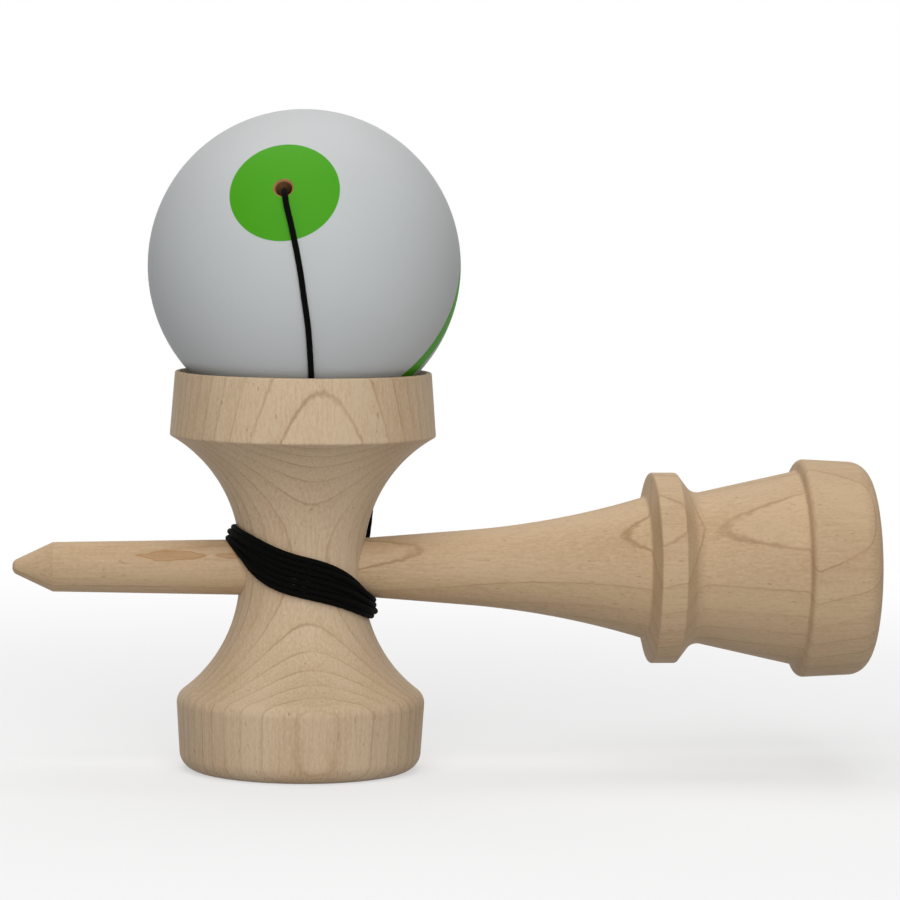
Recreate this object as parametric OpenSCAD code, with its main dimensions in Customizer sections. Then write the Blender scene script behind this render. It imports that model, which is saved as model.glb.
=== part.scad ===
// Kendama: a turned handle (ken), a turned cross piece with two cups (sarado) and a painted ball (tama)
// on a cord. The cross piece stands on its small cup and the ball sits in its big cup. The cord runs from
// a knot in the ken, in loops round the neck of the sarado, over the big cup's rim, under the ball, and up
// the ball's front to a bead inside it.
// Everything is modelled round the sarado's axis, with z = 0 on the surface that the toy stands on. The
// last step moves the origin to the middle of the toy's length.

/* [Sarado] */
// Height from the small cup's rim to the big cup's rim
sarado_h = 76.9; // [74:0.1:84]
// Height of the ken's axis above the small cup's rim
ken_axis_z = 39.1; // [38:0.1:41]
// Diameter of the neck between the cups
neck_d = 24; // [22:0.1:26]
// Length of the neck's straight middle
neck_len = 4.4; // [2:0.1:7]
// Outer diameter of the big cup at its rim
big_rim_d = 49.3; // [48.9:0.1:51]
// Outer diameter of the ridge under the big cup
big_ridge_d = 51.2; // [50:0.1:54]
// Height of the band from the ridge to the big cup's rim
big_band_h = 12.3; // [10:0.1:14]
// Diameter of the big cup's mouth
big_mouth_d = 47.7; // [44:0.1:47.8]
// Outer diameter of the small cup at its rim
small_rim_d = 46.2; // [45:0.1:48]
// Outer diameter of the ridge above the small cup
small_ridge_d = 48; // [46:0.1:50]
// Height of the band from the small cup's rim to its ridge
small_band_h = 14.4; // [12:0.1:17]
// Diameter of the small cup's mouth
small_mouth_d = 38; // [35:0.1:38.2]
// Depth of the small cup
small_cup_depth = 8.6; // [7:0.1:11]
// Edge radius of the big cup's rim and ridge
big_edge_r = 0.5; // [0.3:0.1:0.8]
// Edge radius of the small cup's rim
small_rim_r = 3.6; // [1:0.1:3.8]
// Edge radius of the small cup's ridge
small_ridge_r = 3; // [1:0.1:3.5]

/* [Ken] */
// Length from the sarado's axis to the tip of the spike
spike_len = 55.5; // [48:0.1:62]
// Length from the sarado's axis to the rim of the base cup
base_len = 110.4; // [108:0.1:118]
// Length of the spike's point
point_len = 7.7; // [6:0.1:10]
// Diameter of the spike at the foot of its point
point_d = 9.5; // [8.6:0.1:10.4]
// Diameter of the spike's blunt tip
tip_d = 2.2; // [1.4:0.1:3]
// Diameter of the ken where it leaves the neck
seat_d = 11.5; // [11:0.1:12]
// Length of the handle's straight taper
taper_len = 19; // [14:0.5:24]
// Angle of the handle's straight taper
taper_angle = 4.5; // [3.5:0.1:5.2]
// Length from the sarado's axis to the foot of the collar
collar_foot = 66.4; // [64:0.1:68]
// Diameter of the handle at the foot of the collar
collar_foot_d = 27.5; // [26:0.1:29]
// Lean of the collar's face, along the ken
collar_lean = 1.3; // [0.8:0.1:2]
// Width of the collar's band
collar_w = 4.8; // [4:0.1:5.6]
// Diameter of the collar
collar_d = 37; // [35:0.1:39]
// Length of the slope from the collar down to the waist
waist_slope = 3.2; // [2.5:0.1:3.6]
// Diameter of the waist
waist_d = 28.7; // [28:0.1:30]
// Length of the cone from the waist to the base cup's step
waist_len = 20.4; // [18:0.1:21]
// Diameter of the cone at the base cup's step
step_d = 37.8; // [36:0.1:38.4]
// Lean of the step's face, along the ken
step_lean = 0.6; // [0.4:0.1:1.2]
// Outer diameter of the base cup at the step
base_cup_d = 42.5; // [41:0.1:44]
// Outer diameter of the base cup at its rim
base_rim_d = 41.2; // [40.6:0.1:42.4]
// Diameter of the base cup's mouth
base_mouth_d = 32.8; // [30:0.1:33.4]
// Depth of the base cup
base_cup_depth = 10; // [7:0.1:10.5]
// Edge radius of the base cup's rim
base_rim_r = 4; // [2:0.1:4.2]

/* [Tama] */
// Diameter of the ball
tama_d = 60; // [58:0.5:64]
// Height angle of the string hole, above level
hole_elevation = 30.5; // [25:0.5:36]
// Direction of the string hole, turned from the base cup's side
hole_azimuth = 257.5; // [250:0.5:265]
// Diameter of the string hole
string_hole_d = 3.2; // [2.6:0.1:3.6]
// Width of the string hole's bevel
string_hole_bevel = 0.35; // [0.2:0.05:0.6]
// Diameter of the hole for the spike
spike_hole_d = 21; // [19:0.1:23]
// Width of the spike hole's bevel
spike_hole_bevel = 1.6; // [1:0.1:2.4]
// How far the spike hole goes past the ball's centre
spike_hole_past = 13.5; // [12:0.1:13.7]
// Diameter of the pocket for the bead
pocket_d = 8; // [7.4:0.1:9]
// Depth of the pocket for the bead
pocket_depth = 7.5; // [7.3:0.1:8.2]

/* [String] */
// Diameter of the cord
cord_d = 1.1; // [0.9:0.05:1.15]
// Room between the cord and the ball, the cup or a hole that it passes
cord_clear = 0.1; // [0.1:0.05:0.3]
// Room under the ball at the bottom of the big cup
cup_play = 2.4; // [1.6:0.1:3]
// Room between the loops and the neck
loop_clear = 0.2; // [0.15:0.05:0.4]
// Number of times the cord crosses the front of the neck
loops = 7; // [5:1:7]
// Diameter of the cord's holes in the ken and the sarado
anchor_hole_d = 2.6; // [2.2:0.1:3]
// Diameter of both knots
knot_d = 3.2; // [2.8:0.1:3.6]
// Length of both knots
knot_len = 2.5; // [2:0.1:2.8]
// Depth of the recess for the knot in the ken
recess_depth = 3.4; // [3:0.1:3.8]
// Room round the knot in its recess
knot_clear = 0.25; // [0.15:0.05:0.4]

/* [Bead] */
// Diameter of the bead
bead_d = 6.8; // [6:0.1:7.2]
// Length of the bead
bead_len = 4.5; // [3.5:0.1:5]
// Diameter of the bead's hole
bead_hole_d = 1.9; // [1.6:0.1:2.4]
// Room between the bead and the bottom of its pocket
bead_play = 0.2; // [0.1:0.05:0.4]

/* [Fit] */
// Room between the ken and the sarado's tapered hole
taper_fit = 0.05; // [0.02:0.01:0.1]

/* [Hidden] */
$fn = 120;

wood = "burlywood";
paint = "whitesmoke";
braid = "#1a1a18";

// Steps of the points that stand for an arc: how many on a long one, and degrees between two at a corner
arc_steps = 14;
corner_step = 9;

// Small turned edges of the ken
tip_edge_r = 0.64 * tip_d;
point_edge_r = 0.6;
collar_edge_r = 0.5;
cove_r = 3;
foot_r = 0.8;

// Sarado
neck_r = neck_d / 2;
big_ridge_z = sarado_h - big_band_h;
neck_top = ken_axis_z + neck_len / 2;
neck_bottom = ken_axis_z - neck_len / 2;

// The ball rests on the cord, which passes between it and the big cup's mouth twice
tama_r = tama_d / 2;
seat_gap = cord_d + 2 * cord_clear;
tama_rise = sqrt(pow(tama_r + seat_gap, 2) - pow(big_mouth_d / 2, 2));
tama_z = sarado_h + tama_rise;
big_cup_depth = tama_r - tama_rise + cup_play;

// Ken, along its axis from the sarado's axis
seat_out = 1;
seat_x = neck_r + seat_out;
taper_end = seat_x + taper_len;
taper_end_r = seat_d / 2 + taper_len * tan(taper_angle);
collar_start = collar_foot + collar_lean;
collar_end = collar_start + collar_w;
waist_x = collar_end + waist_slope;
step_x = waist_x + waist_len;
cup_x = step_x + step_lean;
step_h = (base_cup_d - step_d) / 2;
step_foot_r = 0.3 * step_h;
step_edge_r = 0.55 * step_h;
shank_slope = (seat_d - point_d) / 2 / (seat_x + spike_len - point_len);
shank_mid_r = seat_d / 2 - seat_x * shank_slope;

// Pieces inside the ball, along the string hole's axis from the ball's centre
pocket_end = spike_hole_past + pocket_depth;
bead_top = pocket_end - bead_play;
bead_bottom = bead_top - bead_len;

// The knot in the ken faces the front, and the cord leaves the sarado at the back of the neck
recess_y = recess_depth - shank_mid_r;
anchor_inset = 0.6;
anchor_end = neck_r - anchor_inset;

// Where the middle of the band of loops lies, over the ken's axis, and the step from loop to loop
band_right = -11.1;
band_back = 7.3;
band_left = 9.6;
band_front = -2.1;
step_right = 0.86;
step_back = 2.15;
step_left = 0.95;
step_front = 1.2;
// Every second loop lies this much further out, except at the back: a higher power makes that place shorter
layer_lift = 1.35;
back_power = 16;
// Angles at which the loops start, after the cord has bent out of its hole, and end, under the handle
loops_start = 108;
loops_end = 360 * loops + 18;
loop_rings = 24;
// How hard the cord's bend out of its hole is pulled along the hole, and along the first loop
hole_pull = 1.6;
loop_pull = 2.2;
bend_steps = 5;
// Sides of the cord where it is wound and where it is free
wound_sides = 6;
free_sides = 8;

// Route of the cord from the loops to the ball, over the ken's axis: up behind the handle to the ridge
rise_route = [
    [11.5, 6.3, -2.6], [11.8, 7.2, -0.9], [12.4, 8.3, 1.4], [13.1, 9.2, 4], [13.7, 10.4, 7.5],
    [14.3, 12.9, 12], [15.2, 16.8, 18.5], [16.2, 20.7, 25.2]
];
// Over the big cup's rim: turn round the sarado's axis, distance from that axis and height over the rim
rim_route = [
    [53.5, 26.1, -8.8], [55.5, 25.75, -4.8], [58, 25.4, -1.2], [60.5, 25.15, 0.25], [63.5, 24.4, 0.75],
    [66.5, 23.6, 0.67]
];
// On the ball: turn round the sarado's axis, and angle up from the bottom of the ball
ball_route = [
    [70, 48.5], [80, 44], [92, 37], [104, 29], [118, 21], [140, 13], [190, 8], [255, 11], [270, 20],
    [272, 30], [271, 40], [270, 50], [269, 60], [268, 70], [266.5, 80], [265, 90], [263, 100], [261, 108]
];
// Into the string hole, in its own frame: down the ball, across, and out along the hole from the centre
hole_route = [
    [4.2, 1.05, 30.35], [2.3, 0.62, 30.6], [1.15, 0.33, 30.3], [0.35, 0.1, 29.45], [0, 0, 28.3],
    [0, 0, 25], [0, 0, 21]
];

// Geometry of outlines

function unit(v) = v / norm(v);

// Points on an arc that leaves start along the direction heading, and ends at goal
function tangent_arc(start, heading, goal) =
    let (
        along = [cos(heading), sin(heading)],
        across = [-sin(heading), cos(heading)],
        way = goal - start,
        radius = way * way / (2 * (way * across)),
        turn = 2 * atan2(way * across, way * along)
    )
    [for (i = [0:arc_steps])
        let (angle = heading + turn * i / arc_steps)
        start + radius * (across - [-sin(angle), cos(angle)])];

// Points that round the corner between its two neighbours with an arc of the given radius
function corner_arc(before, corner, after, radius) =
    let (
        back = unit(before - corner),
        ahead = unit(after - corner),
        half = acos(back * ahead) / 2,
        centre = corner + unit(back + ahead) * radius / sin(half),
        first = corner + back * radius / tan(half) - centre,
        side = sign(back.x * ahead.y - back.y * ahead.x),
        turn = -side * (180 - 2 * half),
        steps = max(2, ceil(abs(turn) / corner_step))
    )
    [for (i = [0:steps])
        let (angle = turn * i / steps)
        centre + [first.x * cos(angle) - first.y * sin(angle), first.x * sin(angle) + first.y * cos(angle)]];

// An outline from corners of the form [x, y, edge radius], with a radius of 0 for a sharp corner
function rounded(corners) =
    let (count = len(corners), flat = [for (c = corners) [c.x, c.y]])
    [for (i = [0:count - 1])
        each corners[i][2] > 0
            ? corner_arc(flat[(i + count - 1) % count], flat[i], flat[(i + 1) % count], corners[i][2])
            : [flat[i]]];

function sharp(points) = [for (p = points) [p.x, p.y, 0]];
function reversed(list) = [for (i = [len(list) - 1:-1:0]) list[i]];
function inner(list) = [for (i = [0:len(list) - 2]) list[i]];

// Radius of the sphere that cuts a cup of a given mouth and depth
function dish_r(mouth_d, depth) = (mouth_d * mouth_d / 4 + depth * depth) / (2 * depth);

// Geometry of the cord

function spin(angle, distance, height) = [distance * cos(angle), distance * sin(angle), height];

// A point in the string hole's frame, in which z runs out of the hole, moved to its place
function from_hole(p) =
    let (
        out = spin(hole_azimuth, cos(hole_elevation), sin(hole_elevation)),
        across = spin(hole_azimuth + 90, 1, 0)
    )
    [0, 0, tama_z] + p.x * cross(across, out) + p.y * across + p.z * out;

function on_ball(turn, up) =
    let (distance = tama_r + cord_clear + cord_d / 2)
    [0, 0, tama_z] + spin(turn, distance * sin(up), -distance * cos(up));

// Radius of the arc of a flare, from the neck's end to the ridge
function flare_r(ridge_d, height) =
    let (out = ridge_d / 2 - neck_r)
    (out * out + height * height) / (2 * out);

big_flare_r = flare_r(big_ridge_d, big_ridge_z - neck_top);
small_flare_r = flare_r(small_ridge_d, neck_bottom - small_band_h);

// Radius of the neck and its flares, at a height over the ken's axis, and the slope of the wall there
function flare_turn(height) =
    asin(max(0, abs(height) - neck_len / 2) / (height > 0 ? big_flare_r : small_flare_r));
function neck_wall(height) =
    neck_r + (height > 0 ? big_flare_r : small_flare_r) * (1 - cos(flare_turn(height)));

// A value that swings smoothly through four given values on the way round the neck
function around(right, back, left, front, angle) =
    (right + back + left + front) / 4 + (right - left) / 2 * cos(angle) + (back - front) / 2 * sin(angle)
    + (right + left - back - front) / 4 * cos(2 * angle);

function loop_point(angle) =
    let (
        turns = (angle - 90) / 360,
        height = around(band_right, band_back, band_left, band_front, angle)
            + (turns - loops / 2) * around(step_right, step_back, step_left, step_front, angle),
        outer = floor(turns) % 2 * layer_lift * (1 - pow(max(0, sin(angle)), back_power)),
        off_wall = cord_d / 2 + loop_clear + outer,
        slope = flare_turn(height)
    )
    spin(
        angle,
        neck_wall(height) + off_wall * cos(slope),
        ken_axis_z + height - sign(height) * off_wall * sin(slope)
    );

function bezier(a, b, c, d, t) =
    pow(1 - t, 3) * a + 3 * pow(1 - t, 2) * t * b + 3 * (1 - t) * t * t * c + pow(t, 3) * d;

function loop_heading(angle) = unit(loop_point(angle + 1) - loop_point(angle - 1));

winding_path =
    let (
        start = [0, anchor_end, ken_axis_z],
        straight = start + [0, cord_d, 0],
        first = loop_point(loops_start),
        last = loop_point(loops_end)
    )
    concat(
        [start],
        [for (i = [0:bend_steps - 1])
            bezier(
                straight,
                straight + [0, hole_pull, 0],
                first - loop_pull * loop_heading(loops_start),
                first,
                i / bend_steps
            )],
        [for (angle = [loops_start:360 / loop_rings:loops_end]) loop_point(angle)],
        [last + cord_d * loop_heading(loops_end)]
    );

// The least room between one loop and the next, measured on points a good part of a loop apart
loop_gap = min([
    for (i = [0:len(winding_path) - 1])
    for (j = [i + loop_rings / 2:1:len(winding_path) - 1])
        norm(winding_path[i] - winding_path[j])
]) - cord_d;
echo(str("least gap between the loops of the winding: ", loop_gap, " mm"));

winding_end = winding_path[len(winding_path) - 1];
lead_route = concat(
    [winding_end + cord_d * loop_heading(loops_end)],
    [for (p = rise_route) p + [0, 0, ken_axis_z]],
    [for (p = rim_route) spin(p[0], p[1], sarado_h + p[2])],
    [for (p = ball_route) on_ball(p[0], p[1])],
    [for (p = hole_route) from_hole(p)],
    [from_hole([0, 0, bead_bottom])]
);

// The route with one more point between each two, on a smooth curve through them
function smoothed(route) =
    let (last = len(route) - 1)
    [for (i = [0:last])
        each i == last
            ? [route[i]]
            : let (beyond = route[max(i - 1, 0)] + route[min(i + 2, last)])
              [route[i], (9 * (route[i] + route[i + 1]) - beyond) / 16]];

// A tube of triangles along a path, whose rings turn as little as they can
module tube(path, diameter, sides) {
    last = len(path) - 1;
    heading = [for (i = [0:last]) unit(path[min(i + 1, last)] - path[max(i - 1, 0)])];
    beside = [
        for (i = 0, v = unit(cross(heading[0], [0.3, 0.5, 1]));
             i <= last;
             i = i + 1, v = i <= last ? unit(v - (v * heading[i]) * heading[i]) : v)
        v
    ];
    points = [
        for (i = [0:last])
        for (k = [0:sides - 1])
        let (angle = 360 * k / sides)
            path[i] + diameter / 2 * (cos(angle) * beside[i] + sin(angle) * cross(heading[i], beside[i]))
    ];
    walls = [
        for (i = [0:last - 1])
        for (k = [0:sides - 1])
        let (a = i * sides + k, b = i * sides + (k + 1) % sides)
            each [[a, a + sides, b], [b, a + sides, b + sides]]
    ];
    ends = [
        for (k = [1:sides - 2])
            each [[0, k, k + 1], [last * sides, last * sides + k + 1, last * sides + k]]
    ];
    polyhedron(points, concat(walls, ends));
}

// Turns a shape whose z runs along the string hole into place
module in_ball() {
    translate([0, 0, tama_z]) rotate([0, 90 - hole_elevation, hole_azimuth]) children();
}

// Moves the origin from the sarado's axis to the middle of the toy's length
module place() {
    translate([(spike_len - base_len) / 2, 0, 0]) children();
}

// A short barrel along z, whose ends are rounded over a quarter of its length
module barrel(diameter, length) {
    edge = length / 4;
    rotate_extrude()
        polygon(rounded([
            [0, 0, 0], [diameter / 2, 0, edge], [diameter / 2, length, edge], [0, length, 0]
        ]));
}

module ken_outline() {
    handle = tangent_arc([taper_end_r, taper_end], 90 - taper_angle, [collar_foot_d / 2, collar_foot]);
    polygon(rounded(concat(
        [
            [0, -spike_len, 0],
            [tip_d / 2, -spike_len, tip_edge_r],
            [point_d / 2, point_len - spike_len, point_edge_r],
            [seat_d / 2, seat_x, 0]
        ],
        sharp(inner(handle)),
        [
            [collar_foot_d / 2, collar_foot, foot_r],
            [collar_d / 2, collar_start, collar_edge_r],
            [collar_d / 2, collar_end, collar_edge_r],
            [waist_d / 2, waist_x, cove_r],
            [step_d / 2, step_x, step_foot_r],
            [base_cup_d / 2, cup_x, step_edge_r],
            [base_rim_d / 2, base_len, base_rim_r],
            [0, base_len, 0]
        ]
    )));
}

module ken() {
    base_dish_r = dish_r(base_mouth_d, base_cup_depth);
    color(wood)
        difference() {
            translate([0, 0, ken_axis_z]) rotate([0, 90, 0]) rotate_extrude() ken_outline();
            translate([base_len + base_dish_r - base_cup_depth, 0, ken_axis_z]) sphere(base_dish_r);
            translate([0, 0, ken_axis_z])
                rotate([90, 0, 0])
                    cylinder(h = seat_d, d = anchor_hole_d, center = true);
            translate([0, recess_y, ken_axis_z])
                rotate([90, 0, 0])
                    cylinder(h = seat_d, d = knot_d + 2 * knot_clear);
        }
}

module sarado_outline() {
    small_flare = tangent_arc([neck_r, neck_bottom], -90, [small_ridge_d / 2, small_band_h]);
    big_flare = tangent_arc([neck_r, neck_top], 90, [big_ridge_d / 2, big_ridge_z]);
    polygon(rounded(concat(
        [
            [0, 0, 0],
            [small_rim_d / 2, 0, small_rim_r],
            [small_ridge_d / 2, small_band_h, small_ridge_r]
        ],
        sharp(reversed(inner(small_flare))),
        sharp(inner(big_flare)),
        [
            [big_ridge_d / 2, big_ridge_z, big_edge_r],
            [big_rim_d / 2, sarado_h, big_edge_r],
            [0, sarado_h, 0]
        ]
    )));
}

module sarado() {
    big_dish_r = dish_r(big_mouth_d, big_cup_depth);
    small_dish_r = dish_r(small_mouth_d, small_cup_depth);
    hole_len = big_ridge_d;
    hole_mid_d = 2 * (shank_mid_r + taper_fit);
    color(wood)
        difference() {
            rotate_extrude() sarado_outline();
            translate([0, 0, sarado_h + big_dish_r - big_cup_depth]) sphere(big_dish_r);
            translate([0, 0, small_cup_depth - small_dish_r]) sphere(small_dish_r);
            translate([0, 0, ken_axis_z])
                rotate([0, 90, 0])
                    cylinder(
                        h = hole_len,
                        d1 = hole_mid_d - hole_len * shank_slope,
                        d2 = hole_mid_d + hole_len * shank_slope,
                        center = true
                    );
            translate([0, 0, ken_axis_z]) rotate([-90, 0, 0]) cylinder(h = big_ridge_d, d = anchor_hole_d);
        }
}

module tama() {
    bore_r = spike_hole_d / 2;
    mouth_r = bore_r + spike_hole_bevel;
    mouth_z = sqrt(tama_r * tama_r - mouth_r * mouth_r);
    hole_r = string_hole_d / 2;
    lip_r = hole_r + string_hole_bevel;
    lip_z = sqrt(tama_r * tama_r - lip_r * lip_r);
    color(paint)
        in_ball()
            difference() {
                sphere(tama_r);
                translate([0, 0, -tama_r]) cylinder(h = tama_r + spike_hole_past, r = bore_r);
                translate([0, 0, -mouth_z - spike_hole_bevel])
                    cylinder(h = 2 * spike_hole_bevel, r1 = mouth_r + spike_hole_bevel, r2 = bore_r);
                cylinder(h = pocket_end, d = pocket_d);
                cylinder(h = tama_d, r = hole_r);
                translate([0, 0, lip_z - string_hole_bevel])
                    cylinder(h = 2 * string_hole_bevel, r1 = hole_r, r2 = lip_r + string_hole_bevel);
            }
}

module bead() {
    color("dimgray")
        in_ball()
            translate([0, 0, bead_bottom])
                difference() {
                    barrel(bead_d, bead_len);
                    translate([0, 0, -bead_len]) cylinder(h = 3 * bead_len, d = bead_hole_d);
                }
}

module bead_knot() {
    color(braid)
        in_ball()
            translate([0, 0, bead_bottom - knot_len])
                barrel(knot_d, knot_len);
}

module ken_knot() {
    color(braid)
        translate([0, recess_y, ken_axis_z]) rotate([90, 0, 0]) barrel(knot_d, knot_len);
}

module string_anchor() {
    color(braid)
        translate([0, recess_y, ken_axis_z])
            rotate([-90, 0, 0])
                cylinder(h = anchor_end - recess_y, d = cord_d);
}

module string_winding() {
    color(braid) tube(winding_path, cord_d, wound_sides);
}

module string_lead() {
    color(braid) tube(concat([winding_end], smoothed(lead_route)), cord_d, free_sides);
}

place() ken();
place() sarado();
place() tama();
place() bead();
place() bead_knot();
place() ken_knot();
place() string_anchor();
place() string_winding();
place() string_lead();
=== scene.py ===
"""A kendama seen from the front: a turned maple handle and cross piece, a painted ball in the big cup, and
one braided cord that is wound round the neck, passes under the ball and goes up its front into the string
hole."""

import bpy
import numpy as np
from mathutils import Matrix, Vector


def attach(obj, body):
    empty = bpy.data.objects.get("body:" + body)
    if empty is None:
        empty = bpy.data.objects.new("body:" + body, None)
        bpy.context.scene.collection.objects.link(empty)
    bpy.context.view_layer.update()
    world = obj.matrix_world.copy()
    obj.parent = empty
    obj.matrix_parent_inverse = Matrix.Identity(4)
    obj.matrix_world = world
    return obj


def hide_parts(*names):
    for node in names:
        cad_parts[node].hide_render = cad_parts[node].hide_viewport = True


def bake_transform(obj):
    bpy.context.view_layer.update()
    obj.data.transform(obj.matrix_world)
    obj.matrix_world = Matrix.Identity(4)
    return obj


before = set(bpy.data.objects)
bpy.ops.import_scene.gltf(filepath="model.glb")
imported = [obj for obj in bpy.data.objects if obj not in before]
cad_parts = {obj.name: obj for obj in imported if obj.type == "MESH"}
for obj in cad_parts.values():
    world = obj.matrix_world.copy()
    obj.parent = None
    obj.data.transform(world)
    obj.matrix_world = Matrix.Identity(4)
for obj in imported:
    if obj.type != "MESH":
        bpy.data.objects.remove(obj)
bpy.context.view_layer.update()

MM = 0.001


def direction(turn, rise):
    """A direction by its turn round Z and its rise over the level, in degrees."""
    turn, rise = np.radians([turn, rise])
    return np.array([np.cos(turn) * np.cos(rise), np.sin(turn) * np.cos(rise), np.sin(rise)])


# Sizes of the part, in millimetres, in a frame on the cross piece's axis with z = 0 on the table
AXIS_X = -27.45
SARADO_H, KEN_Z = 76.9, 39.1
NECK_R, NECK_LEN = 12.0, 4.4
BIG_RIM_R, BIG_RIDGE_R, BIG_BAND_H, BIG_MOUTH_R = 24.65, 25.6, 12.3, 23.85
SMALL_RIM_R, SMALL_RIDGE_R, SMALL_BAND_H, SMALL_MOUTH_R, SMALL_DEPTH = 23.1, 24.0, 14.4, 19.0, 8.6
BALL_R, SEAT_GAP, CUP_PLAY = 30.0, 1.3, 2.4
BALL_Z = SARADO_H + np.sqrt((BALL_R + SEAT_GAP) ** 2 - BIG_MOUTH_R ** 2)
BALL = np.array([0.0, 0.0, BALL_Z])
BIG_DEPTH = BALL_R - (BALL_Z - SARADO_H) + CUP_PLAY
CORD_D, CORD_GAP = 1.12, 0.04

# The string hole's direction out of the ball, and two directions square to it: across, and down the ball
HOLE_TURN, HOLE_RISE = 257.5, 30.5
HOLE = direction(HOLE_TURN, HOLE_RISE)
HOLE_ACROSS = direction(HOLE_TURN + 90, 0)
HOLE_DOWN = np.cross(HOLE_ACROSS, HOLE)


def placed(points):
    """Points in millimetres on the cross piece's axis, as metres in the part's own frame."""
    return (np.asarray(points, float) + [AXIS_X, 0, 0]) * MM


# Camera: fitted to the photograph's outline, so the picture has the same framing

CAMERA_AT = np.array([-49.5, -807.2, 121.2])
CAMERA_PITCH, CAMERA_ROLL, CAMERA_YAW = np.radians([-4.184, -0.652, -5.516])
CAMERA_LENS = 168.44

turn = (Matrix.Rotation(CAMERA_YAW, 3, "Z") @ Matrix.Rotation(CAMERA_PITCH, 3, "X")
        @ Matrix.Rotation(CAMERA_ROLL, 3, "Y"))
right, forward, up = turn.col
camera = bpy.data.objects.new("camera", bpy.data.cameras.new("camera"))
camera.data.lens = CAMERA_LENS
camera.matrix_world = (Matrix.Translation(placed(CAMERA_AT))
                       @ Matrix((right, up, -forward)).transposed().to_4x4())
bpy.context.scene.collection.objects.link(camera)
bpy.context.scene.camera = camera


# Meshes

def make_piece(name, points, faces, materials, face_material=None):
    """An object at the origin from points in metres and a list of face arrays, smooth and turned outwards:
    the signed volume of its triangle fans says whether the faces have to be turned over."""
    fans = [block[:, [0, k, k + 1]] for block in faces for k in range(1, block.shape[1] - 1)]
    first, second, third = (points[np.vstack(fans)[:, k]] for k in range(3))
    if np.einsum("ij,ij->", first, np.cross(second, third)) < 0:
        faces = [block[:, ::-1] for block in faces]
    mesh = bpy.data.meshes.new(name)
    mesh.from_pydata(points.tolist(), [], [face for block in faces for face in block.tolist()])
    for material in materials:
        mesh.materials.append(material)
    if face_material is not None:
        mesh.polygons.foreach_set("material_index", np.asarray(face_material, np.int32))
    mesh.shade_smooth()
    piece = bpy.data.objects.new(name, mesh)
    bpy.context.scene.collection.objects.link(piece)
    return piece


def tube_faces(rings, sides, closed=False):
    """Faces of a tube of rings of points: quads between each two rings, and either quads from the last ring
    to the first or a fan at each end to one of the two points that follow the rings."""
    ring, side = np.meshgrid(np.arange(rings if closed else rings - 1), np.arange(sides), indexing="ij")
    ahead, beside = (ring + 1) % rings, (side + 1) % sides
    corners = [ring * sides + side, ring * sides + beside, ahead * sides + beside, ahead * sides + side]
    quads = np.stack(corners, -1).reshape(-1, 4)
    if closed:
        return [quads]
    this = np.arange(sides)
    following = (this + 1) % sides
    top = (rings - 1) * sides
    first_fan = np.stack([np.full(sides, rings * sides), following, this], 1)
    last_fan = np.stack([np.full(sides, rings * sides + 1), top + this, top + following], 1)
    return [quads, first_fan, last_fan]


def finely(line, spacing):
    """The same line of points with no step longer than the spacing: long steps are cut in equal parts."""
    line = np.asarray(line, float)
    way = np.diff(line, axis=0)
    parts = np.maximum(1, np.ceil(np.linalg.norm(way, axis=1) / spacing)).astype(int)
    which = np.repeat(np.arange(len(parts)), parts)
    within = np.arange(len(which)) - np.repeat(np.cumsum(parts) - parts, parts)
    return np.vstack([line[which] + way[which] * (within / parts[which])[:, None], line[-1:]])


def sharp(line):
    """A line of points as corners with no edge radius."""
    return np.column_stack([line, np.zeros(len(line))])


def rounded(corners, arc_steps=10):
    """A line through corners (radius, distance, edge radius): each corner with an edge radius becomes an arc
    that touches both of its sides."""
    corners = np.asarray(corners, float)
    flat = corners[:, :2]
    line = [flat[:1]]
    for before, corner, after, radius in zip(flat[:-2], flat[1:-1], flat[2:], corners[1:-1, 2]):
        if radius == 0:
            line.append(corner[None])
            continue
        back = (before - corner) / np.linalg.norm(before - corner)
        ahead = (after - corner) / np.linalg.norm(after - corner)
        half = np.arccos(np.clip(back @ ahead, -1, 1)) / 2
        centre = corner + (back + ahead) / np.linalg.norm(back + ahead) * radius / np.sin(half)
        start = corner + back * radius / np.tan(half) - centre
        side = np.sign(back[0] * ahead[1] - back[1] * ahead[0])
        angle = -side * (np.pi - 2 * half) * np.linspace(0, 1, arc_steps + 1)
        line.append(centre + np.stack([start[0] * np.cos(angle) - start[1] * np.sin(angle),
                                       start[0] * np.sin(angle) + start[1] * np.cos(angle)], 1))
    return np.vstack(line + [flat[-1:]])


def tangent_arc(start, heading, goal, steps=40):
    """Points of the arc that leaves start along the angle heading and ends at goal."""
    start, goal = np.asarray(start, float), np.asarray(goal, float)
    along = np.array([np.cos(heading), np.sin(heading)])
    across = np.array([-along[1], along[0]])
    way = goal - start
    radius = way @ way / (2 * (way @ across))
    angle = heading + 2 * np.arctan2(way @ across, way @ along) * np.linspace(0, 1, steps + 1)
    return start + radius * (across - np.stack([-np.sin(angle), np.cos(angle)], 1))


def dish(mouth_r, depth, mouth_at, inwards, steps=36):
    """Profile of a cup cut by a sphere: from its mouth at that distance down to its bottom on the axis."""
    sphere_r = (mouth_r ** 2 + depth ** 2) / (2 * depth)
    angle = np.arcsin(mouth_r / sphere_r) * np.linspace(1, 0, steps + 1)
    below = sphere_r * np.cos(angle) - (sphere_r - depth)
    return np.stack([sphere_r * np.sin(angle), mouth_at + inwards * below], 1)


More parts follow.
